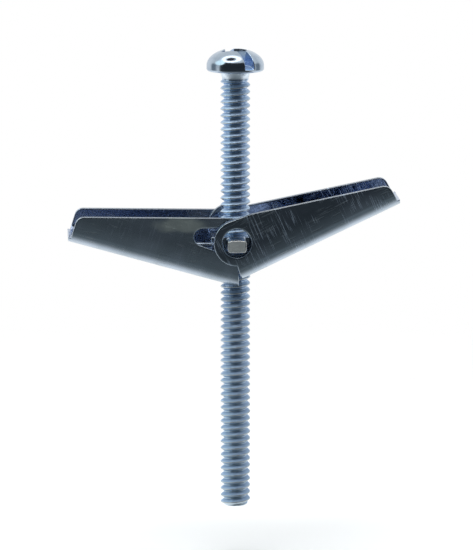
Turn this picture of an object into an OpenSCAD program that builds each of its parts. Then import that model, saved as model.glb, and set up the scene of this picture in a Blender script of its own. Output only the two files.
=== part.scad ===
// Spring-wing toggle bolt for hollow walls, 6-32 x 2 in, wings open.
// Origin: screw axis, on the underside of the head. +Z to the head, wings along X, hinge along Y.

/* [Screw] */
// Major diameter of the thread
thread_d = 3.43; // [3.3:0.01:3.5]
// Depth of the thread
thread_depth = 0.45; // [0.3:0.01:0.5]
// Distance from one crest to the next
pitch = 0.79375; // [0.7:0.00125:0.85]
// Length under the head
screw_length = 50.8; // [40:0.1:60]
// Length of the plain neck under the head
neck_length = 0.9; // [0.5:0.1:2]
// Diameter of the plain neck
neck_d = 3.06; // [3:0.02:3.2]
// Diameter of the head
head_d = 6.6; // [6:0.1:7]
// Height of the head
head_h = 2.6; // [2.3:0.1:2.8]
// Straight rim of the head, below its dome
rim_h = 0.65; // [0.4:0.05:0.9]
// Width of the straight slot
slot_w = 1.16; // [0.9:0.02:1.3]
// Height of the slot's floor above the underside
slot_floor = 0.7; // [0.6:0.05:1.2]
// Direction of the slot, from +X
slot_angle = -62; // [-90:1:90]
// Width across the flats of the square recess
square_w = 2.3; // [2:0.05:2.5]
// Height of the square recess's floor above the underside
square_floor = 0.75; // [0.65:0.05:1.2]

/* [Nut] */
// Height of the hinge axis below the head
pivot_drop = 19.4; // [18:0.1:24]
// How far the nut's middle sits below the hinge axis
nut_sag = 0.3; // [0.3:0.05:0.45]
// Size of the nut's body along X
nut_x = 5.8; // [5.4:0.1:5.9]
// Size of the nut's body along Y
nut_y = 4.5; // [4.4:0.05:4.6]
// Thickness of the nut
nut_t = 1.5; // [1.3:0.05:1.5]
// Width of each trunnion
trunnion_w = 2.2; // [2:0.05:2.3]
// Distance over the ends of both trunnions
trunnion_span = 9; // [8.8:0.1:9.6]
// Gap between the thread's crests and the nut's bore, on the radius
thread_gap = 0.05; // [0.03:0.01:0.1]

/* [Wings] */
// Length from the hinge axis to a wing's tip
wing_length = 19.3; // [18.5:0.1:19.4]
// Thickness of the wings' sheet
sheet_t = 0.6; // [0.5:0.05:0.6]
// Width over the outside of each channel
channel_w = 7.5; // [7.4:0.1:7.8]
// Outer radius of the channel's bends
bend_r = 1.3; // [1.2:0.05:1.3]
// Radius of the ears round the hinge
ear_r = 2.65; // [2.6:0.05:2.7]
// Height of the left flanges' upper edges above the hinge axis
left_edge = 2.8; // [2.75:0.01:2.9]
// Height of the right flanges' upper edges above the hinge axis
right_edge = 2.98; // [2.9:0.01:3.05]
// Radius of the round hinge holes
hole_r = 1.65; // [1.6:0.05:1.7]
// Gap between flanges that lie side by side
flange_gap = 0.1; // [0.08:0.02:0.2]
// Depth of the left web below the hinge axis
left_depth = 5.12; // [5.05:0.01:5.2]
// Depth of the right web below the hinge axis
right_depth = 4.2; // [4.15:0.01:4.3]
// Slope of the left web towards the tip
left_taper = 14.8; // [14:0.1:15]
// Slope of the right web towards the tip
right_taper = 13.8; // [13:0.1:14]
// How far the left wing's tip stands above level
left_lift = 0.9; // [0:0.1:2]
// How far the right wing's tip stands above level
right_lift = 11.6; // [10:0.1:16]
// How far the web runs past the flanges at the tip
tongue = 0.3; // [0.2:0.1:0.6]
// Radius of the flanges' upper corners at the tip
tip_r = 1; // [0.8:0.1:1.2]
// How far the flanges' ends lean back from square
tip_lean = 17; // [0:1:20]
// Radius of the tapered hole's small end
taper_r = 1; // [0.8:0.05:1.1]
// How far out the tapered hole's small end is
taper_x = 3.9; // [3.5:0.1:4.2]
// How far up the tapered hole's small end is
taper_z = 0.58; // [0.4:0.02:0.6]
// Radius of the hump on top of the right wing's inner ear
lobe_r = 2.63; // [2.5:0.01:2.7]
// How far out from the hinge the hump's middle is
lobe_x = -0.2; // [-0.3:0.05:0]
// How far up from the hinge the hump's middle is
lobe_z = 1.05; // [0.9:0.05:1.2]
// Half width of the notch that clears the screw
notch_r = 2.1; // [2:0.05:2.2]

/* [Spring] */
// Diameter of the spring's wire
wire_d = 0.44; // [0.4:0.01:0.46]
// Radius of the coils, to the middle of the wire
coil_r = 1.72; // [1.7:0.02:1.8]
// Height of the legs where they leave the coils, below the hinge axis
leg_drop = 0.4; // [0.3:0.05:0.6]
// Length of each leg's level part
leg_level = 3.4; // [3:0.1:3.8]

/* [Hidden] */
$fn = 64;
slack = 1;
thread_r = thread_d / 2;
root_r = thread_r - thread_depth;
head_r = head_d / 2;
dome_h = head_h - rim_h;
dome_step = 7.5;
tip_chamfer = 0.4;
fillet = (thread_d - neck_d) / 2 + 0.02;
grooves = floor((screw_length - neck_length - tip_chamfer) / pitch);
crest = pitch / 8;
nut_half = nut_t / 2;
inner_face = channel_w / 2 - sheet_t - (sheet_t + flange_gap) / 2;
coil_y = (nut_y / 2 + inner_face) / 2;
edge_slope = 8;
bend_step = 15;
wire_r = wire_d / 2;
wire_trim = 0.02;
foot_lift = 0.55;
low_leg = 5.8;

// A bar along Y with rounded edges, w wide and h high
module rounded_bar(w, h, length, r) {
  rotate([90, 0, 0])
    linear_extrude(height = length, center = true) {
      square([w - 2 * r, h], center = true);
      square([w, h - 2 * r], center = true);
      for (x = [-1, 1], z = [-1, 1])
        translate([x * (w / 2 - r), z * (h / 2 - r)])
          circle(r = r);
    }
}

// Head and shank as one turned shape, with a groove for each turn of the thread
module screw_profile() {
  polygon(concat(
    [[0, -screw_length], [root_r, -screw_length], [thread_r, tip_chamfer - screw_length]],
    [for (i = [grooves:-1:1], corner = [[0, crest], [1, (pitch - crest) / 2], [0, pitch]])
      let (top = -neck_length - (i - 1) * pitch)
      [thread_r - corner[0] * thread_depth, top - pitch + corner[1]]],
    [[neck_d / 2, -neck_length], [neck_d / 2, -fillet], [neck_d / 2 + fillet, 0], [head_r, 0]],
    [for (a = [0:dome_step:90]) [head_r * cos(a), rim_h + dome_h * sin(a)]]
  ));
}

module screw() {
  color([0.63, 0.71, 0.79])
    difference() {
      rotate_extrude()
        screw_profile();
      rotate([0, 0, slot_angle])
        translate([-head_r - slack, -slot_w / 2, slot_floor])
          cube([head_d + 2 * slack, slot_w, head_h]);
      rotate([0, 0, slot_angle + 45])
        translate([-square_w / 2, -square_w / 2, square_floor])
          cube([square_w, square_w, head_h]);
    }
}

// The bore stands for the thread's crests, so the screw runs through it freely
module trunnion_nut() {
  color([0.6, 0.6, 0.58])
    translate([0, 0, -pivot_drop - nut_sag])
      difference() {
        union() {
          rounded_bar(nut_x, nut_t, nut_y, 0.3);
          rounded_bar(trunnion_w, nut_t, trunnion_span, 0.35);
        }
        translate([0, 0, -nut_half - slack])
          cylinder(r = thread_r + thread_gap, h = nut_t + 2 * slack);
      }
}

// Half of a box's section, open at the top, with a rounded lower edge
function half_section(width, r, floor_z, side) = [
  for (a = [0:bend_step:90])
    [side * (width / 2 - r * (1 - sin(a))), floor_z + r * (1 - cos(a))]
];

// A U-shaped channel along X, its web's underside on z = 0
module channel(length, height) {
  outer = concat([for (p = half_section(channel_w, bend_r, 0, 1)) p], [[channel_w / 2, height]]);
  inner_w = channel_w - 2 * sheet_t;
  inner = concat(half_section(inner_w, bend_r - sheet_t, sheet_t, 1), [[inner_w / 2, height]]);
  right = concat(outer, [for (i = [len(inner) - 1:-1:0]) inner[i]]);
  left = [for (i = [len(right) - 1:-1:0]) [-right[i][0], right[i][1]]];
  rotate([90, 0, 90])
    linear_extrude(height = length, center = true)
      polygon(concat(right, left));
}

// Height of a wing's web at x, measured square to the sheet from its underside
function web(depth, taper, x, up) = (up - depth) / cos(taper) + x * tan(taper);

// Side view of a wing, hinge at the origin: ear, sloping web, tongue and rounded tip
module wing_outline(depth, taper, edge_z, ear_x, hub_x) {
  flange_end = wing_length - tongue;
  flange_foot = web(depth, taper, flange_end, sheet_t);
  corner_x = flange_end - (tip_r + (edge_z - tip_r - flange_foot) * sin(tip_lean)) / cos(tip_lean);
  edge_x = (edge_z - ear_r / cos(edge_slope)) / tan(edge_slope);
  circle(r = ear_r);
  polygon(concat(
    [[ear_x, -hole_r], [hub_x, web(depth, taper, hub_x, -slack)]],
    [[wing_length, web(depth, taper, wing_length, -slack)]],
    [[wing_length, web(depth, taper, wing_length, sheet_t)]],
    [[flange_end, flange_foot]],
    [for (a = [0:10:90]) let (b = tip_lean + a * (90 - tip_lean) / 90)
      [corner_x + tip_r * cos(b), edge_z - tip_r * (1 - sin(b))]],
    [[edge_x, edge_z], 0.98 * ear_r * [-sin(edge_slope), cos(edge_slope)], [0, hole_r]]
  ));
}

// A round hole whose one side tapers out to a smaller round end
module tapered_hole() {
  reach = sqrt(taper_x * taper_x + taper_z * taper_z);
  lean = asin((hole_r - taper_r) / reach);
  big = [for (s = [-1, 1]) hole_r * [sin(lean), s * cos(lean)]];
  small = [for (s = [1, -1]) [reach, 0] + taper_r * [sin(lean), s * cos(lean)]];
  circle(r = hole_r);
  rotate(atan2(taper_z, taper_x)) {
    translate([reach, 0])
      circle(r = taper_r);
    polygon(concat(big, small));
  }
}

// What the outer ear leaves out of the hump
module lobe_trim(depth, taper, edge_z, ear_x, hub_x) {
  translate([0, coil_y, 0])
    rotate([90, 0, 0])
      linear_extrude(height = 2 * channel_w)
        difference() {
          translate([lobe_x, lobe_z])
            circle(r = lobe_r + flange_gap);
          wing_outline(depth, taper, edge_z, ear_x, hub_x);
        }
}

// A wing that points along +X, hinge at the origin, its tapered hole on the inner ear
module wing(depth, taper, edge_z, ear_x, hub_x, lobed) {
  shift = -(sheet_t + flange_gap) / 2;
  difference() {
    intersection() {
      translate([0, shift, 0])
        rotate([0, -taper, 0])
          translate([0, 0, -depth])
            channel(4 * wing_length, 4 * ear_r);
      rotate([90, 0, 0])
        linear_extrude(height = 2 * channel_w, center = true) {
          wing_outline(depth, taper, edge_z, ear_x, hub_x);
          if (lobed)
            translate([lobe_x, lobe_z])
              circle(r = lobe_r);
        }
    }
    if (lobed)
      lobe_trim(depth, taper, edge_z, ear_x, hub_x);
    rotate([90, 0, 0])
      cylinder(r = hole_r, h = 2 * channel_w, center = true);
    translate([0, channel_w, 0])
      rotate([90, 0, 0])
        linear_extrude(height = channel_w)
          tapered_hole();
    translate([0, 0, -2 * depth])
      cylinder(r = notch_r, h = 2 * depth - ear_r);
    translate([-2 * notch_r, -notch_r, -2 * depth])
      cube([2 * notch_r, 2 * notch_r, 2 * depth - ear_r]);
  }
}

module wing_left() {
  color([0.3, 0.34, 0.38])
    translate([0, 0, -pivot_drop])
      rotate([0, -left_lift, 180])
        wing(left_depth, left_taper, left_edge, -0.2, -0.4, false);
}

module wing_right() {
  color([0.25, 0.28, 0.32])
    translate([0, 0, -pivot_drop])
      rotate([0, -right_lift, 0])
        wing(right_depth, right_taper, right_edge, -0.6, -0.2, true);
}

// A straight stretch of wire in the plane of a coil
module wire(start, end) {
  run = end - start;
  translate([start[0], 0, start[1]])
    rotate([0, 90 - atan2(run[1], run[0]), 0])
      cylinder(d = wire_d - wire_trim, h = norm(run));
}

// Where a leg ends, just above the web and its bends
function foot(depth, taper) =
  let (x = coil_r + 2 * leg_level)
  [x, web(depth, taper, x, sheet_t + foot_lift)];

// A leg that points along +X: level at first, then down to the web
module spring_leg(depth, taper) {
  wire([coil_r, -leg_drop], [coil_r + leg_level, -leg_drop]);
  wire([coil_r + leg_level - wire_r / 2, -leg_drop], foot(depth, taper));
}

// The bar that joins the feet of the two right legs
module spring_bridge() {
  place = foot(right_depth, right_taper);
  translate([place[0], 0, place[1]])
    rotate([90, 0, 0])
      cylinder(d = wire_d, h = 2 * coil_y + wire_r, center = true);
}

// One wire: a coil on each trunnion, a leg from each on the left web and a bridge on the right web
module torsion_spring() {
  color([0.5, 0.52, 0.55])
    translate([0, 0, -pivot_drop]) {
      for (end = [-1, 1])
        translate([0, end * coil_y, 0]) {
          rotate([90, 0, 0])
            rotate_extrude()
              translate([coil_r, 0])
                circle(d = wire_d);
          rotate([0, -right_lift, 0])
            spring_leg(right_depth, right_taper);
        }
      translate([0, -coil_y, 0])
        rotate([0, -left_lift, 180])
          spring_leg(left_depth, left_taper);
      translate([0, coil_y, 0])
        rotate([0, -left_lift, 180])
          wire([0, -coil_r], [low_leg, web(left_depth, left_taper, low_leg, sheet_t + foot_lift)]);
      rotate([0, -right_lift, 0])
        spring_bridge();
    }
}

screw();
trunnion_nut();
wing_left();
wing_right();
torsion_spring();
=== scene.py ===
"""Looks for the spring-wing toggle bolt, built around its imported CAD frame."""

import math

import bmesh
import bpy
import numpy as np
import openvdb
from mathutils import Matrix, Vector


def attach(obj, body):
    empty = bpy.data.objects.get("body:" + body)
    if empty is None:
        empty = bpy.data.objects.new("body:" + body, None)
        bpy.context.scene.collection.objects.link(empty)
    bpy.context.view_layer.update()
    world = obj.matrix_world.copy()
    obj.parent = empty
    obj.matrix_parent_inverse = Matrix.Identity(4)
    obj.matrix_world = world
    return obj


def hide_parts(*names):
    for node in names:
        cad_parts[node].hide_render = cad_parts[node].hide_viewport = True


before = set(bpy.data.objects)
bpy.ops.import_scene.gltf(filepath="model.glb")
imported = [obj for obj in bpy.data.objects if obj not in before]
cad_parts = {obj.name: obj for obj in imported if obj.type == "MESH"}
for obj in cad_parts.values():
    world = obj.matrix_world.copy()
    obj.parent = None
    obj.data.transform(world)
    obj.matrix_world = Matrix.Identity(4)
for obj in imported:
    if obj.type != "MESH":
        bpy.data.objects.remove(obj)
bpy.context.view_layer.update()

MM = 0.001

# Sizes in millimetres; most are the CAD model's own. The origin is on the screw's axis, level with
# the underside of its head.

# The shank: the thread, the chamfered end and the neck, which flares into the head
PITCH = 0.79375
THREAD_R = 1.715
THREAD_DEPTH = 0.41
NICK_DEPTH = 0.03  # of the small nicks along the crests
SCREW_LENGTH = 50.8
CREST_DROP = 0.043  # from the screw's end to the first crest, which the chamfer cuts away
END_R = 1.2
END_SLOPE = 1.35
NECK_LENGTH = 0.9
NECK_R = 1.51
FLARE = 0.34
FLARE_H = 0.85
ROD_TOP = 0.4

# The head: a dome over a low rim, with a slot that deepens towards its ends and a square recess
HEAD_R = 3.3
HEAD_H = 2.6
RIM_H = 0.65
RIM_ROUND = 0.3
SLOT_W = 1.16
SLOT_FLOOR = 0.7
SLOT_ANGLE = math.radians(-62)
RUN_OUT = 0.35
RUN_OUT_FROM = 2
RUN_OUT_LENGTH = 1.3
SQUARE_W = 2.3
SQUARE_FLOOR = 0.75
SQUARE_CENTRE = 0.6
SQUARE_DISH = 0.2
SQUARE_DRAFT = 0.11

# The nut, which hangs a little below the hinge line in the wings' holes
PIVOT_Z = -19.4
NUT_SAG = 0.3
NUT_X = 5.8
NUT_Y = 4.5
NUT_T = 1.5
TRUNNION_W = 2.2
TRUNNION_SPAN = 9.0
TRUNNION_CROWN = 0.16
TRUNNION_CORNER = 1.16
BORE_R = 1.765
BORE_CHAMFER = 0.25

# The wings
WING_LENGTH = 19.3
SHEET_T = 0.6
CHANNEL_W = 7.5
BEND_R = 1.4
TUCK_H = 3.2  # height above the web from which the flanges draw in
TUCK = 0.022  # how far they draw in, times the square of the depth below TUCK_H
EAR_R = 2.65
EDGE_SLOPE = math.radians(8)
HOLE_R = 1.65
FLANGE_GAP = 0.1
TONGUE = 0.3
TIP_R = 1.0
TIP_LEAN = math.radians(17)
TAPER_R = 1.0
TAPER_END = (3.9, 0.58)
NOTCH_R = 2.1
LOBE_R = 2.63
LOBE_AT = (-0.2, 1.05)
LOBE_Y = 2.7
CUT_ROUND = 0.09
HOLE_ROUND = 0.16
NOTCH_ROUND = 0.07

# The spring
WIRE_R = 0.22
COIL_R = 1.72
COIL_Y = 2.525
LEG_DROP = 0.4
LEG_LEVEL = 3.4
LOW_LEG = 5.8
FOOT_LIFT = 0.55
LEG_BEND = 0.5

# Widths of the mesh cells
HEAD_CELL = 0.055
NUT_CELL = 0.07
WING_CELL = 0.085


# ---------------------------------------------------------------- distance fields
# A field is the distance to a surface in millimetres, negative inside it.

def both(a, b, r):
    """What a and b share, with the edge between them rounded to radius r."""
    corner = np.hypot(np.maximum(a + r, 0), np.maximum(b + r, 0))
    return np.minimum(np.maximum(a, b), -r) + corner


def either(a, b, r):
    """a and b joined, with a fillet of radius r between them."""
    fillet = np.hypot(np.maximum(r - a, 0), np.maximum(r - b, 0))
    return np.maximum(np.minimum(a, b), r) - fillet


def box_2d(x, y, half_x, half_y, r):
    """A rectangle with corners of radius r."""
    dx = np.abs(x) - half_x + r
    dy = np.abs(y) - half_y + r
    return np.hypot(np.maximum(dx, 0), np.maximum(dy, 0)) + np.minimum(np.maximum(dx, dy), 0) - r


def polygon_2d(x, y, corners):
    """A closed outline through its corners."""
    nearest = np.full(np.broadcast(x, y).shape, np.inf)
    inside = np.zeros(nearest.shape, dtype=bool)
    for (ax, ay), (bx, by) in zip(corners, corners[1:] + corners[:1]):
        ex, ey = bx - ax, by - ay
        t = np.clip(((x - ax) * ex + (y - ay) * ey) / (ex * ex + ey * ey), 0, 1)
        nearest = np.minimum(nearest, np.hypot(x - ax - t * ex, y - ay - t * ey))
        if ey:
            inside ^= ((ay > y) != (by > y)) & (x < ex * (y - ay) / ey + ax)
    return np.where(inside, -nearest, nearest)


def ripple(a, b, scale):
    """Smooth unevenness between -1 and 1, the same on each run."""
    s = np.sin(a * 1.7 * scale + 1.3 * np.sin(b * 1.1 * scale))
    t = np.sin(b * 2.3 * scale + 1.9 * np.sin(a * 0.9 * scale + 2.0))
    return 0.5 * (s + t)


# ---------------------------------------------------------------- meshes

def new_object(name, points, faces):
    """A smooth-shaded mesh object from points in millimetres."""
    mesh = bpy.data.meshes.new(name)
    points = [tuple(p) for p in np.asarray(points) * MM]
    mesh.from_pydata(points, [], [tuple(f) for f in faces])
    mesh.validate()
    obj = bpy.data.objects.new(name, mesh)
    bpy.context.scene.collection.objects.link(obj)
    bm = bmesh.new()
    bm.from_mesh(mesh)
    bmesh.ops.recalc_face_normals(bm, faces=bm.faces)
    bm.to_mesh(mesh)
    bm.free()
    mesh.shade_smooth()
    return obj


def settle(points, field, cell):
    """Moves points onto the surface where the field is zero."""
    step = 0.2 * cell
    for _ in range(4):
        x, y, z = points.T
        value = field(x, y, z)
        slope = np.stack([
            field(x + step, y, z) - field(x - step, y, z),
            field(x, y + step, z) - field(x, y - step, z),
            field(x, y, z + step) - field(x, y, z - step),
        ], axis=1) / (2 * step)
        size = np.maximum((slope ** 2).sum(axis=1), 0.25)
        move = -(value / size)[:, None] * slope
        length = np.maximum(np.linalg.norm(move, axis=1), 1e-9)[:, None]
        points = points + move * np.minimum(1, 0.4 * cell / length)
    return points


def solid(name, field, low, high, cell):
    """The surface of a field, as a closed mesh of quads about one cell wide."""
    axes = [np.arange(a - 2 * cell, b + 3 * cell, cell) for a, b in zip(low, high)]
    x, y, z = np.meshgrid(*axes, indexing="ij", sparse=True)
    values = np.broadcast_to(field(x, y, z), tuple(len(a) for a in axes))
    grid = openvdb.FloatGrid(4 * cell)
    grid.copyFromArray(np.ascontiguousarray(values, dtype=np.float32))
    points, quads = grid.convertToQuads()
    points = points * cell + np.array([a[0] for a in axes])
    return new_object(name, settle(points, field, cell), quads)


def place(obj, turn, drop):
    """Bakes a turn about the hinge and a shift along Z into the mesh."""
    obj.data.transform(Matrix.Translation((0, 0, drop * MM)) @ turn)


def tube(name, path, radius, sides=16, closed=False):
    """A round wire along a smooth path, with domed ends."""
    path = [Vector(p) for p in path]
    count = len(path)
    points, faces = [], []
    side = Vector((0, 1, 0))
    rings = []
    for i, p in enumerate(path):
        ahead = path[(i + 1) % count] if closed else path[min(i + 1, count - 1)]
        behind = path[i - 1] if closed else path[max(i - 1, 0)]
        tangent = (ahead - behind).normalized()
        side = (side - tangent * side.dot(tangent)).normalized()
        rings.append((p, tangent, side, radius))
    if not closed:
        rings = dome(rings, radius, -1) + rings + dome(rings, radius, 1)
    for centre, tangent, across, size in rings:
        up = tangent.cross(across)
        for k in range(sides):
            a = 2 * math.pi * k / sides
            points.append(centre + size * (math.cos(a) * across + math.sin(a) * up))
    total = len(rings)
    for i in range(total if closed else total - 1):
        here, there = i * sides, (i + 1) % total * sides
        for k in range(sides):
            n = (k + 1) % sides
            faces.append((here + k, here + n, there + n, there + k))
    if not closed:
        faces.append(tuple(range(sides - 1, -1, -1)))
        faces.append(tuple(range((total - 1) * sides, total * sides)))
    return new_object(name, points, faces)


def dome(rings, radius, way):
    """The rings that round off one end of a wire."""
    centre, tangent, across, _ = rings[-1 if way > 0 else 0]
    out = []
    for degrees in (25, 50, 72):
        a = math.radians(degrees)
        tip = centre + way * tangent * radius * math.sin(a)
        out.append((tip, tangent, across, radius * math.cos(a)))
    return out if way > 0 else out[::-1]


def smooth_path(corners, bend):
    """Straight runs joined by curves that begin and end a length of bend from each corner."""
    steps = 8
    corners = [Vector(c) for c in corners]
    out = [corners[0]]
    for before, here, after in zip(corners, corners[1:], corners[2:]):
        start = here + (before - here).normalized() * bend
        end = here + (after - here).normalized() * bend
        for k in range(steps + 1):
            t = k / steps
            out.append(start * (1 - t) ** 2 + here * 2 * t * (1 - t) + end * t ** 2)
    out.append(corners[-1])
    return out


# ---------------------------------------------------------------- the screw

def thread_row_offsets():
    """The rows of one turn: height from its crest and depth below it, rounder above the crest."""
    below = [(-0.33, 0.4), (-0.28, 0.36), (-0.2, 0.235), (-0.12, 0.105), (-0.07, 0.03), (-0.035, 0.005)]
    above = [(0.04, 0.005), (0.09, 0.035), (0.15, 0.09), (0.22, 0.17), (0.3, 0.285), (0.35, 0.37)]
    return below + [(0.0, 0.0)] + above + [(PITCH / 2, THREAD_DEPTH)]


def screw_rod():
    """The shank with its right-hand helical thread, from inside the head to the chamfered end."""
    around = 72
    rows = thread_row_offsets()
    crest_z = -SCREW_LENGTH - CREST_DROP
    turns = int((ROD_TOP - crest_z) / PITCH) + 3
    theta = np.arange(around) * 2 * math.pi / around
    offsets = np.array([a for a, _ in rows])
    depths = np.array([d for _, d in rows])
    turn = np.arange(-1, turns)
    base = (turn[:, None] * PITCH + offsets[None, :]).ravel() + crest_z
    depth = np.tile(depths, len(turn))
    z = base[:, None] + PITCH * theta[None, :] / (2 * math.pi)
    nick = np.maximum(ripple(theta[None, :] * 3.1 + z * 0.7, z * 4.3, 2.6), 0.35) - 0.35
    radius = THREAD_R - depth[:, None] - NICK_DEPTH * nick * (depth[:, None] < 0.1)
    full = np.clip((-NECK_LENGTH - z) / (0.5 * PITCH), 0, 1)
    full = full * full * (3 - 2 * full)
    flare = NECK_R + FLARE * (np.maximum(z + FLARE_H, 0) / FLARE_H) ** 1.5
    radius = flare + (radius - flare) * full
    radius = np.minimum(radius, END_R + np.maximum(z + SCREW_LENGTH, 0) * END_SLOPE)
    points = np.stack([radius * np.cos(theta), radius * np.sin(theta), z], axis=2).reshape(-1, 3)
    faces = []
    count = len(base)
    per_turn = len(rows)
    for j in range(count - 1):
        for i in range(around):
            here, over = j * around + i, (j + 1) * around + i
            if i < around - 1:
                faces.append((here, here + 1, over + 1, over))
            elif j + per_turn + 1 < count:
                faces.append((here, (j + per_turn) * around, (j + per_turn + 1) * around, over))
    rod = new_object("screw_rod", points, faces)
    bm = bmesh.new()
    bm.from_mesh(rod.data)
    for height, way in ((-SCREW_LENGTH, -1), (ROD_TOP, 1)):
        everything = bm.verts[:] + bm.edges[:] + bm.faces[:]
        cut = bmesh.ops.bisect_plane(bm, geom=everything, plane_co=(0, 0, height * MM),
                                     plane_no=(0, 0, way), clear_outer=True, dist=1e-7)
        rim = [e for e in cut["geom_cut"] if isinstance(e, bmesh.types.BMEdge)]
        bmesh.ops.contextual_create(bm, geom=rim)
    bmesh.ops.recalc_face_normals(bm, faces=bm.faces)
    bm.to_mesh(rod.data)
    bm.free()
    return rod


def head_field(x, y, z):
    """Dome and rim, with a straight slot and a square recess."""
    rho = np.hypot(x, y)
    up = z - RIM_H
    dome_h = HEAD_H - RIM_H
    near = np.hypot(rho / HEAD_R, up / dome_h)
    far = np.hypot(rho / HEAD_R ** 2, up / dome_h ** 2)
    over = near * (near - 1) / np.maximum(far, 1e-6)
    body = both(np.where(up > 0, over, rho - HEAD_R), -z, RIM_ROUND)
    along = x * math.cos(SLOT_ANGLE) + y * math.sin(SLOT_ANGLE)
    across = y * math.cos(SLOT_ANGLE) - x * math.sin(SLOT_ANGLE)
    run_out = RUN_OUT * np.clip((np.abs(along) - RUN_OUT_FROM) / RUN_OUT_LENGTH, 0, 1) ** 2
    slot = both(np.abs(across) - SLOT_W / 2, SLOT_FLOOR - run_out - z, 0.08)
    half = SQUARE_W / 2 + SQUARE_DRAFT * (z - SQUARE_FLOOR)
    one = np.abs(along + across) / math.sqrt(2) - half
    two = np.abs(along - across) / math.sqrt(2) - half
    square = both(both(one, two, 0.1), SQUARE_CENTRE + SQUARE_DISH * rho - z, 0.05)
    return both(body, -np.minimum(slot, square), 0.07)


def make_screw(material):
    """The head and the shank, joined into one mesh."""
    rod = screw_rod()
    low, high = (-HEAD_R, -HEAD_R, 0), (HEAD_R, HEAD_R, HEAD_H)
    head = solid("screw_body", head_field, low, high, HEAD_CELL)
    join = head.modifiers.new("join", "BOOLEAN")
    join.operation = "UNION"
    join.solver = "MANIFOLD"
    join.object = rod
    bpy.context.view_layer.update()
    evaluated = head.evaluated_get(bpy.context.evaluated_depsgraph_get())
    joined = bpy.data.meshes.new_from_object(evaluated)
    head.modifiers.clear()
    head.data = joined
    bpy.data.objects.remove(rod)
    head.data.shade_smooth()
    finish_piece(head, material, "screw", "screw")


# ---------------------------------------------------------------- the wings

class Wing:
    """The sizes of one wing in its own frame: hinge at the origin, tip along +X, web below."""

    def __init__(self, depth, taper, edge_z, ear_x, hub_x, lift, lobed):
        self.depth = depth
        self.taper = math.radians(taper)
        self.edge_z = edge_z
        self.ear_x = ear_x
        self.hub_x = hub_x
        self.lift = math.radians(lift)
        self.lobed = lobed

    def web(self, x, up):
        """Height of the web at x, up being measured square to the sheet from its underside."""
        return (up - self.depth) / math.cos(self.taper) + x * math.tan(self.taper)

    def outline(self):
        """Side view of the wing without its ears."""
        end = WING_LENGTH - TONGUE
        foot = self.web(end, SHEET_T)
        rise = self.edge_z - TIP_R - foot
        corner_x = end - (TIP_R + rise * math.sin(TIP_LEAN)) / math.cos(TIP_LEAN)
        corner = [
            (corner_x + TIP_R * math.cos(a), self.edge_z - TIP_R * (1 - math.sin(a)))
            for a in np.linspace(TIP_LEAN, math.pi / 2, 10)
        ]
        edge_x = (self.edge_z - EAR_R / math.cos(EDGE_SLOPE)) / math.tan(EDGE_SLOPE)
        return [
            (self.ear_x, -HOLE_R),
            (self.hub_x, self.web(self.hub_x, -1)),
            (WING_LENGTH, self.web(WING_LENGTH, -1)),
            (WING_LENGTH, self.web(WING_LENGTH, SHEET_T)),
            (end, foot),
            *corner,
            (edge_x, self.edge_z),
            (-EAR_R * math.sin(EDGE_SLOPE), EAR_R * math.cos(EDGE_SLOPE)),
            (0, HOLE_R),
        ]

    def field(self, x, y, z):
        """Pressed sheet: web, two bends and two flanges, trimmed to the outline and pierced."""
        rise = z * math.cos(self.taper) - x * math.sin(self.taper) + self.depth
        tuck = TUCK * np.maximum(TUCK_H - rise, 0) ** 2
        side = np.abs(y + (SHEET_T + FLANGE_GAP) / 2) + tuck
        flange = CHANNEL_W / 2 - SHEET_T / 2
        centre = CHANNEL_W / 2 - BEND_R
        wall = np.abs(side - flange)
        floor = np.abs(rise - SHEET_T / 2)
        bend = np.abs(np.hypot(side - centre, rise - BEND_R) - (BEND_R - SHEET_T / 2))
        flat = np.where(rise < BEND_R, floor, np.minimum(wall, floor))
        straight = np.where(side < centre, flat, wall)
        sheet = np.where((side >= centre) & (rise < BEND_R), bend, straight) - SHEET_T / 2
        shape = np.minimum(polygon_2d(x, z, self.outline()), np.hypot(x, z) - EAR_R)
        if self.lobed:
            lobe = np.hypot(x - LOBE_AT[0], z - LOBE_AT[1]) - LOBE_R
            shape = np.minimum(shape, both(lobe, LOBE_Y - y, 0.05))
        cut = both(sheet, shape, CUT_ROUND)
        hole = np.hypot(x, z) - HOLE_R
        hole = np.where(y > 0, np.minimum(hole, tapered_hole(x, z)), hole)
        cut = both(cut, -hole, HOLE_ROUND)
        notch = np.where(x < 0, np.abs(y) - NOTCH_R, np.hypot(x, y) - NOTCH_R)
        return both(cut, -np.maximum(notch, z + EAR_R), NOTCH_ROUND)

    def top(self):
        """Height of the wing's highest point above the hinge."""
        return LOBE_AT[1] + LOBE_R if self.lobed else self.edge_z


def tapered_hole(x, z):
    """A round hole whose one side tapers out to a smaller round end."""
    reach = math.hypot(*TAPER_END)
    lean = math.atan2(TAPER_END[1], TAPER_END[0])
    u = x * math.cos(lean) + z * math.sin(lean)
    v = np.abs(z * math.cos(lean) - x * math.sin(lean))
    t = (HOLE_R - TAPER_R) / reach
    c = math.sqrt(1 - t * t)
    k = u * c - v * t
    flank = v * c + u * t - HOLE_R
    small = np.where(k > reach * c, np.hypot(u - reach, v) - TAPER_R, flank)
    return np.where(k < 0, np.hypot(u, v) - HOLE_R, small)


LEFT = Wing(depth=5.12, taper=14.8, edge_z=2.8, ear_x=-0.2, hub_x=-0.4, lift=0.9, lobed=False)
RIGHT = Wing(depth=4.2, taper=13.8, edge_z=2.98, ear_x=-0.6, hub_x=-0.2, lift=11.6, lobed=True)
TURN_LEFT = Matrix.Rotation(math.pi, 4, "Z") @ Matrix.Rotation(-LEFT.lift, 4, "Y")
TURN_RIGHT = Matrix.Rotation(-RIGHT.lift, 4, "Y")


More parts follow.
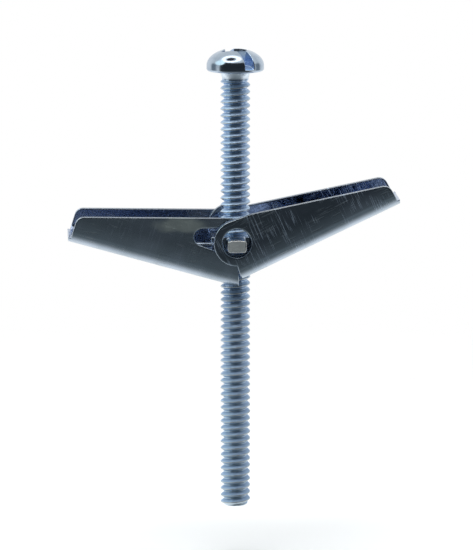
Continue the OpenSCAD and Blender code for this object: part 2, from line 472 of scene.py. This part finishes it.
def make_wing(side, wing, turn, material):
    """A wing, turned about the hinge to where it lies at rest."""
    half = CHANNEL_W / 2 + SHEET_T
    low = (LOBE_AT[0] - LOBE_R, -half, -wing.depth - 0.4)
    high = (WING_LENGTH, half, wing.top())
    piece = solid(side + "_wing", wing.field, low, high, WING_CELL)
    place(piece, turn, PIVOT_Z)
    finish_piece(piece, material, "wing_" + side, "wing_" + side)


# ---------------------------------------------------------------- nut and spring

def nut_field(x, y, z):
    """A plate with two crowned trunnions and a chamfered bore."""
    z = z - PIVOT_Z + NUT_SAG
    half = NUT_T / 2
    plate = both(box_2d(x, z, NUT_X / 2, half, 0.22), np.abs(y) - NUT_Y / 2, 0.12)
    crown = z - half + TRUNNION_CROWN * (x / (TRUNNION_W / 2)) ** 2
    stub = both(box_2d(x, z, TRUNNION_W / 2, half, 0.3), np.abs(y) - TRUNNION_SPAN / 2, 0.16)
    stub = both(stub, crown, 0.16)
    stub = both(stub, (np.abs(x) - z) / math.sqrt(2) - TRUNNION_CORNER, 0.1)
    shape = either(plate, stub, 0.15)
    rho = np.hypot(x, y)
    chamfer = (rho - BORE_R - BORE_CHAMFER + half - np.abs(z)) / math.sqrt(2)
    return both(shape, -np.minimum(rho - BORE_R, chamfer), 0.05)


def make_nut(material):
    """The nut with its trunnions."""
    low = (-NUT_X / 2, -TRUNNION_SPAN / 2, PIVOT_Z - NUT_SAG - NUT_T / 2)
    high = (NUT_X / 2, TRUNNION_SPAN / 2, PIVOT_Z - NUT_SAG + NUT_T / 2)
    piece = solid("nut_body", nut_field, low, high, NUT_CELL)
    finish_piece(piece, material, "nut", "trunnion_nut")


def make_spring(material):
    """A coil round each trunnion that rides on the nut, and legs that ride on the wings."""
    for tag, y in (("near", -COIL_Y), ("far", COIL_Y)):
        ring = [
            (COIL_R * math.cos(a), y, PIVOT_Z + COIL_R * math.sin(a))
            for a in np.linspace(0, 2 * math.pi, 72, endpoint=False)
        ]
        coil = tube("spring_coil_" + tag, ring, WIRE_R, closed=True)
        finish_piece(coil, material, "nut", "torsion_spring")
    foot_x = COIL_R + 2 * LEG_LEVEL
    legs = []
    for wing in (LEFT, RIGHT):
        foot_z = wing.web(foot_x, SHEET_T + FOOT_LIFT)
        legs.append([(COIL_R, -LEG_DROP), (COIL_R + LEG_LEVEL, -LEG_DROP), (foot_x, foot_z)])
    low = [(0, -COIL_R), (LOW_LEG, LEFT.web(LOW_LEG, SHEET_T + FOOT_LIFT))]
    near_left = [(x, COIL_Y, z) for x, z in legs[0]]
    far_left = [(x, -COIL_Y, z) for x, z in low]
    right = [(x, -COIL_Y, z) for x, z in legs[1]]
    right += [(x, COIL_Y, z) for x, z in reversed(legs[1])]
    for name, corners, turn, body in (
        ("spring_leg_near", near_left, TURN_LEFT, "wing_left"),
        ("spring_leg_far", far_left, TURN_LEFT, "wing_left"),
        ("spring_bridge", right, TURN_RIGHT, "wing_right"),
    ):
        leg = tube(name, smooth_path(corners, LEG_BEND), WIRE_R)
        place(leg, turn, PIVOT_Z)
        finish_piece(leg, material, body, "torsion_spring")


def finish_piece(obj, material, body, node):
    """Gives a piece its material and the body that it rides on, and hides the CAD node that it stands
    for.
    """
    obj.data.materials.clear()
    obj.data.materials.append(material)
    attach(obj, body)
    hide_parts(node)


# ---------------------------------------------------------------- shaders

# In metres
BUMP_DEPTH = 0.00001
SHEEN_AT = (0.0064, 0.0019)  # centre of the left wing's painted sheen, along it and above the hinge
SHEEN_SIZE = (0.0036, 0.0010)

BOW = 4200  # how far a bowed flange leans, in bump depths for each metre up


class Num:
    """A number in a node tree, so that a shader's maths can be written out."""

    def __init__(self, tree, socket):
        self.tree = tree
        self.socket = socket

    def maths(self, kind, *others):
        """The result of one step of arithmetic with other numbers."""
        node = self.tree.nodes.new("ShaderNodeMath")
        node.operation = kind
        for slot, value in zip(node.inputs, (self, *others)):
            if isinstance(value, Num):
                self.tree.links.new(value.socket, slot)
            else:
                slot.default_value = value
        return Num(self.tree, node.outputs[0])

    def __add__(self, other):
        return self.maths("ADD", other)

    def __sub__(self, other):
        return self.maths("SUBTRACT", other)

    def __mul__(self, other):
        return self.maths("MULTIPLY", other)

    def fade(self, low, high, start=0.0, end=1.0):
        """Goes smoothly from start at low to end at high."""
        node = self.tree.nodes.new("ShaderNodeMapRange")
        node.interpolation_type = "SMOOTHSTEP"
        node.inputs["From Min"].default_value = low
        node.inputs["From Max"].default_value = high
        node.inputs["To Min"].default_value = start
        node.inputs["To Max"].default_value = end
        self.tree.links.new(self.socket, node.inputs["Value"])
        return Num(self.tree, node.outputs["Result"])

    def window(self, low, high, soft):
        """1 between low and high, fading to 0 over soft on each side."""
        return self.fade(low - soft, low + soft) * self.fade(high - soft, high + soft, 1, 0)


def split(tree, vector):
    """The three numbers of a vector."""
    node = tree.nodes.new("ShaderNodeSeparateXYZ")
    tree.links.new(vector, node.inputs[0])
    return [Num(tree, out) for out in node.outputs]


def layer(tree, under, colour, amount):
    """Lays a colour over another one by an amount from 0 to 1."""
    node = tree.nodes.new("ShaderNodeMix")
    node.data_type = "RGBA"
    tree.links.new(amount.socket, node.inputs["Factor"])
    if isinstance(under, tuple):
        node.inputs["A"].default_value = (*under, 1)
    else:
        tree.links.new(under, node.inputs["A"])
    node.inputs["B"].default_value = (*colour, 1)
    return node.outputs["Result"]


class Metal:
    """A metal under construction: colour, roughness and height are layered, then linked.

    The lengths that its layers depend on are in metres, in the CAD frame.
    """

    def __init__(self, name, colour, rough):
        self.material = bpy.data.materials.new(name)
        self.material.use_nodes = True
        self.tree = self.material.node_tree
        self.shader = self.tree.nodes["Principled BSDF"]
        self.shader.inputs["Metallic"].default_value = 1
        self.where = self.tree.nodes.new("ShaderNodeTexCoord")
        self.x, self.y, self.z = split(self.tree, self.where.outputs["Object"])
        self.colour = colour
        self.rough = rough
        self.height = None

    def faces_up(self):
        """How far the surface faces up, from -1 to 1."""
        return split(self.tree, self.where.outputs["Normal"])[2]

    def noise(self, scale, detail=4, turn=(0, 0, 0)):
        """Noise between 0 and 1; scale gives its cycles for each metre along each turned axis."""
        if not isinstance(scale, tuple):
            scale = (scale,) * 3
        mapping = self.tree.nodes.new("ShaderNodeMapping")
        mapping.vector_type = "TEXTURE"
        mapping.inputs["Rotation"].default_value = turn
        mapping.inputs["Scale"].default_value = tuple(1 / s for s in scale)
        self.tree.links.new(self.where.outputs["Object"], mapping.inputs["Vector"])
        node = self.tree.nodes.new("ShaderNodeTexNoise")
        node.inputs["Scale"].default_value = 1
        node.inputs["Detail"].default_value = detail
        self.tree.links.new(mapping.outputs["Vector"], node.inputs["Vector"])
        return Num(self.tree, node.outputs["Fac"])

    def paint(self, colour, amount):
        """Lays a colour over the others by an amount from 0 to 1."""
        self.colour = layer(self.tree, self.colour, colour, amount)

    def roughen(self, change):
        """Adds to the roughness, or takes from it."""
        self.rough = change + self.rough

    def raise_by(self, change):
        """Adds to the height that the bump is made from."""
        self.height = change if self.height is None else self.height + change

    def done(self, depth):
        """Links the layers to the shader; heights are in units of depth metres."""
        links = self.tree.links
        links.new(self.colour, self.shader.inputs["Base Color"])
        links.new(self.rough.socket, self.shader.inputs["Roughness"])
        bump = self.tree.nodes.new("ShaderNodeBump")
        bump.inputs["Strength"].default_value = 1
        bump.inputs["Distance"].default_value = depth
        links.new(self.height.socket, bump.inputs["Height"])
        links.new(bump.outputs["Normal"], self.shader.inputs["Normal"])
        return self.material


def screw_zinc():
    """Bright zinc with painted reflections, bluer in the recess and the thread's grooves and lighter on
    upward flanks; paler and duller on its neck, crests and lower shank.
    """
    metal = Metal("screw_zinc", (0.5, 0.58, 0.67), 0.1)
    cloud = metal.noise(700)
    metal.paint((0.42, 0.5, 0.6), cloud.fade(0.45, 0.7))
    metal.roughen(cloud.fade(0.35, 0.7, 0.0, 0.08))
    radius = (metal.x * metal.x + metal.y * metal.y).maths("SQRT")
    along = metal.x * math.cos(SLOT_ANGLE) + metal.y * math.sin(SLOT_ANGLE)
    across = (metal.y * math.cos(SLOT_ANGLE) - metal.x * math.sin(SLOT_ANGLE)).maths("ABSOLUTE")
    corner = (along + across).maths("ABSOLUTE")
    corner = corner.maths("MAXIMUM", (along - across).maths("ABSOLUTE"))
    square = corner.fade(0.0018, 0.00172) * metal.z.fade(0.0024, 0.0022)
    # Painted reflection: the slot and the square recess are painted bluer, for light bouncing between
    # their walls.
    recess_reflection = across.fade(0.00064, 0.00056).maths("MAXIMUM", square)
    recess_reflection = recess_reflection * metal.z.fade(0.0003, 0.0005) * radius.fade(0.0033, 0.0031)
    metal.paint((0.43, 0.55, 0.75), recess_reflection)

    ragged = radius + (metal.noise((3000, 3000, 2500), 2) - 0.5) * 0.00006
    shank = metal.z.fade(-0.0005, -0.0009)
    # Painted reflection: the thread's grooves are painted bluer, for light bouncing between its flanks.
    metal.paint((0.52, 0.65, 0.83), shank * ragged.fade(0.00168, 0.00155))
    lower = metal.z.fade(-0.018, -0.046)
    metal.roughen(shank * 0.1 + lower * 0.24)
    metal.paint((0.82, 0.94, 1.0), lower * 0.8)
    # Painted highlight: flanks that face up are painted lighter and made rougher, for the light from
    # above.
    flank = metal.faces_up().fade(0.3, 0.6) * shank
    metal.paint((0.58, 0.73, 0.92), flank)
    metal.roughen(flank * 0.3)
    neck = metal.z.window(-0.00085, -0.00005, 0.0001) * radius.fade(0.0021, 0.0019)
    metal.paint((0.8, 0.89, 0.97), neck)
    metal.roughen(neck * 0.25)
    crest = ragged.fade(0.001692, 0.001714) * shank
    metal.paint((0.72, 0.76, 0.75), crest)
    metal.roughen(crest * 0.12)

    grain = metal.noise(9000, 2)
    metal.raise_by(grain * 0.2)
    metal.raise_by(crest * grain * 0.4)
    metal.raise_by(metal.noise((2500, 2500, 1200), 3) * 0.6)
    return metal.done(BUMP_DEPTH)


def nut_zinc():
    """Zinc over a stamped blank whose end faces are sheared, paler and duller inside a rim with a
    painted highlight.
    """
    metal = Metal("nut_zinc", (0.5, 0.57, 0.65), 0.18)
    cloud = metal.noise(600)
    metal.paint((0.42, 0.47, 0.55), cloud.fade(0.4, 0.7))
    metal.roughen(cloud.fade(0.35, 0.7, 0.0, 0.1))
    along = metal.y.maths("ABSOLUTE")
    end = along.fade(0.00442, 0.00447)
    metal.paint((0.97, 0.99, 0.97), end)
    metal.roughen(end * 0.42)
    across = metal.x.maths("ABSOLUTE")
    level = (metal.z - (PIVOT_Z - NUT_SAG) * MM).maths("ABSOLUTE")
    # Painted highlight: a bright line is painted round the rim of each trunnion's end, which is also
    # made smoother.
    rim = across.fade(0.0009, 0.00098).maths("MAXIMUM", level.fade(0.00055, 0.00062))
    rim = rim * along.fade(0.0042, 0.0043)
    metal.paint((0.95, 0.95, 0.93), rim * metal.noise(2500, 2).fade(0.3, 0.55))
    metal.roughen(rim * -0.4)
    metal.raise_by(metal.noise(8000, 2) * 0.4)
    metal.raise_by(end * metal.noise((12000, 12000, 3000), 3) * 2)
    return metal.done(BUMP_DEPTH)


def spring_steel():
    """Zinc-coated wire with fine lines from drawing."""
    metal = Metal("spring_steel", (0.5, 0.58, 0.68), 0.15)
    metal.paint((0.42, 0.48, 0.58), metal.noise(900).fade(0.4, 0.7))
    lines = metal.noise((1200, 12000, 1200), 2)
    metal.roughen(lines.fade(0.3, 0.7, 0.0, 0.12))
    metal.raise_by(lines)
    return metal.done(0.5 * BUMP_DEPTH)


def wing_zinc(side, wing, lean, scratched, dull_and_sheen):
    """Zinc-plated sheet: clouds, fine grain, a bluer inside and darker cut edges.

    Scratches lean by an angle and are as strong as scratched says; scuffs run along the web. A
    dull wing is duller all over and has a painted sheen: a paler, duller patch above its tapered hole.
    """
    metal = Metal("wing_zinc_" + side, (0.5, 0.57, 0.65), 0.1 + 0.12 * dull_and_sheen)
    way = 1 if side == "right" else -1
    out = metal.x * way
    up = metal.z - PIVOT_Z * MM
    along = out * math.cos(wing.lift) + up * math.sin(wing.lift)
    above = up * math.cos(wing.lift) - out * math.sin(wing.lift)

    cloud = metal.noise(260, 5)
    metal.paint((0.42, 0.49, 0.55), cloud.fade(0.35, 0.6))
    metal.roughen(cloud.fade(0.4, 0.75, 0.0, 0.08))
    sideways = (metal.y + way * (SHEET_T + FLANGE_GAP) / 2 * MM).maths("ABSOLUTE")
    outer = sideways.fade(0.0032, 0.0034)
    rise = above * math.cos(wing.taper) - along * math.sin(wing.taper) + wing.depth * MM
    inside = (outer * -1 + 1) * rise.fade(0.00045, 0.00058)
    metal.paint((0.39, 0.46, 0.6), inside)
    metal.roughen(inside * -0.05)
    grain = metal.noise(5200, 3)
    metal.roughen(grain.fade(0.45, 0.75, 0.0, 0.03))
    edge = above.fade((wing.edge_z - 0.12) * MM, (wing.edge_z - 0.04) * MM)
    metal.paint((0.2, 0.22, 0.24), edge * 0.6)
    metal.roughen(edge * 0.2)

    lines = metal.noise((9000, 300, 380), 1, (0, lean, 0)).fade(0.56, 0.66)
    patches = metal.noise(420, 2).fade(0.4, 0.55)
    scratch = lines * patches * scratched
    metal.paint((0.6, 0.7, 0.82), scratch)
    metal.roughen(scratch * 0.38)
    along_web = (0, way * -(wing.taper + wing.lift), 0)
    scuff = metal.noise((500, 300, 5200), 2, along_web).fade(0.56, 0.7)
    scuff = scuff * metal.noise(240, 1).fade(0.4, 0.6)
    metal.paint((0.58, 0.62, 0.64), scuff * 0.4)
    metal.roughen(scuff * 0.22)
    if dull_and_sheen:
        # Painted sheen: a paler, duller patch above the tapered hole, for a highlight that the bowed
        # sheet catches there.
        u = (along - SHEEN_AT[0]) * (1 / SHEEN_SIZE[0])
        v = (above - SHEEN_AT[1]) * (1 / SHEEN_SIZE[1])
        ragged = (u * u + v * v) + (metal.noise(700, 3) - 0.5) * 1.2
        sheen_patch = ragged.fade(1.2, 0.2) * outer
        metal.paint((0.6, 0.66, 0.64), sheen_patch)
        metal.roughen(sheen_patch * 0.3)
        metal.raise_by(up * BOW)

    metal.raise_by(grain * 0.05)
    metal.raise_by((scratch + scuff) * -0.5)
    metal.raise_by(metal.noise(420, 2) * 1.5)
    return metal.done(0.8 * BUMP_DEPTH)


# ---------------------------------------------------------------- stage

# In metres
FLOOR_R = 0.16
FLOOR_CLEAR_R = 0.02
FLOOR_DROP = 0.0065
CAMERA_DISTANCE = 0.48


def make_floor():
    """A pale disc below the screw's end that fades into the background."""
    bm = bmesh.new()
    bmesh.ops.create_circle(bm, cap_ends=True, segments=96, radius=FLOOR_R)
    mesh = bpy.data.meshes.new("floor")
    bm.to_mesh(mesh)
    bm.free()
    floor = bpy.data.objects.new("floor", mesh)
    floor.location = (0, 0, -SCREW_LENGTH * MM - FLOOR_DROP)
    floor.visible_glossy = False
    bpy.context.scene.collection.objects.link(floor)
    material = bpy.data.materials.new("floor_white")
    material.use_nodes = True
    tree = material.node_tree
    shader = tree.nodes["Principled BSDF"]
    shader.inputs["Base Color"].default_value = (0.95, 0.95, 0.95, 1)
    shader.inputs["Roughness"].default_value = 0.8
    x, y, _ = split(tree, tree.nodes.new("ShaderNodeTexCoord").outputs["Object"])
    reach = (x * x + y * y).maths("SQRT")
    tree.links.new(reach.fade(FLOOR_CLEAR_R, FLOOR_R, 1, 0).socket, shader.inputs["Alpha"])
    mesh.materials.append(material)


def make_world():
    """White to the camera; to the metal, a light tent with a dark opening at the front."""
    world = bpy.data.worlds.new("light_tent")
    bpy.context.scene.world = world
    world.use_nodes = True
    tree = world.node_tree
    tree.nodes.clear()
    x, y, z = split(tree, tree.nodes.new("ShaderNodeTexCoord").outputs["Generated"])
    turned = x.maths("ARCTAN2", y * -1).maths("ABSOLUTE")  # away from the front, in radians

    tone = layer(tree, (0.78, 0.8, 0.81), (1.1, 1.12, 1.14), z.fade(-0.1, -0.5))
    back = y.fade(0.3, 0.7) * z.window(-0.3, 0.5, 0.15)
    tone = layer(tree, tone, (0.9, 0.92, 0.94), back)
    stands = turned.window(1.5, 2.0, 0.12) * z.window(-0.25, 0.35, 0.15)
    tone = layer(tree, tone, (0.2, 0.24, 0.28), stands)
    opening = turned.fade(1.3, 1.08).maths("MAXIMUM", z.fade(-0.5, -0.75))
    opening = opening * y.fade(0.55, -0.7) * z.fade(0.8, 0.72)
    tone = layer(tree, tone, (0.15, 0.175, 0.19), opening)
    tone = layer(tree, tone, (0.026, 0.031, 0.037), opening * z.fade(-0.48, -0.1))
    overhead = x * -0.2 + y * -0.08 + z * 0.977
    tone = layer(tree, tone, (2.4, 2.4, 2.4), overhead.fade(0.875, 0.91))
    tone = layer(tree, tone, (0.05, 0.05, 0.06), overhead.fade(0.955, 0.985))
    window = x * -0.79 + y * -0.12 + z * 0.6
    tone = layer(tree, tone, (1.4, 1.65, 1.65), window.fade(0.93, 0.96))

    tent = tree.nodes.new("ShaderNodeBackground")
    tree.links.new(tone, tent.inputs["Color"])
    plain = tree.nodes.new("ShaderNodeBackground")
    plain.inputs["Color"].default_value = (1, 1, 1, 1)
    choose = tree.nodes.new("ShaderNodeMixShader")
    out = tree.nodes.new("ShaderNodeOutputWorld")
    path = tree.nodes.new("ShaderNodeLightPath")
    tree.links.new(path.outputs["Is Camera Ray"], choose.inputs["Fac"])
    tree.links.new(tent.outputs["Background"], choose.inputs[1])
    tree.links.new(plain.outputs["Background"], choose.inputs[2])
    tree.links.new(choose.outputs["Shader"], out.inputs["Surface"])


def make_light():
    """A broad soft lamp above the front, which the metal doesn't mirror."""
    lamp = bpy.data.lights.new("overhead", "AREA")
    lamp.shape = "DISK"
    lamp.size = 0.3
    lamp.energy = 1
    obj = bpy.data.objects.new("overhead", lamp)
    obj.location = (-0.05, -0.1, 0.4)
    aim = Vector((0, 0, PIVOT_Z * MM)) - obj.location
    obj.rotation_euler = aim.to_track_quat("-Z", "Y").to_euler()
    obj.visible_glossy = False
    bpy.context.scene.collection.objects.link(obj)


def make_camera():
    """Slightly above and to the left of the front, far off, with a long lens."""
    target = Vector((0.14, 0, -23.73)) * MM
    azimuth, elevation = math.radians(-3), math.radians(9.6)
    level = math.cos(elevation)
    back = Vector((math.sin(azimuth) * level, -math.cos(azimuth) * level, math.sin(elevation)))
    camera = bpy.data.cameras.new("camera")
    camera.sensor_width = 36
    camera.lens = 272
    camera.clip_start = 0.01
    obj = bpy.data.objects.new("camera", camera)
    obj.location = target + back * CAMERA_DISTANCE
    obj.rotation_euler = (-back).to_track_quat("-Z", "Y").to_euler()
    bpy.context.scene.collection.objects.link(obj)
    bpy.context.scene.camera = obj


make_camera()
make_screw(screw_zinc())
make_nut(nut_zinc())
left_zinc = wing_zinc("left", LEFT, lean=math.radians(20), scratched=0.3, dull_and_sheen=1)
make_wing("left", LEFT, TURN_LEFT, left_zinc)
right_zinc = wing_zinc("right", RIGHT, lean=math.radians(-24), scratched=1.0, dull_and_sheen=0)
make_wing("right", RIGHT, TURN_RIGHT, right_zinc)
make_spring(spring_steel())

make_world()
make_floor()
make_light()
bpy.context.scene.view_settings.view_transform = "Standard"
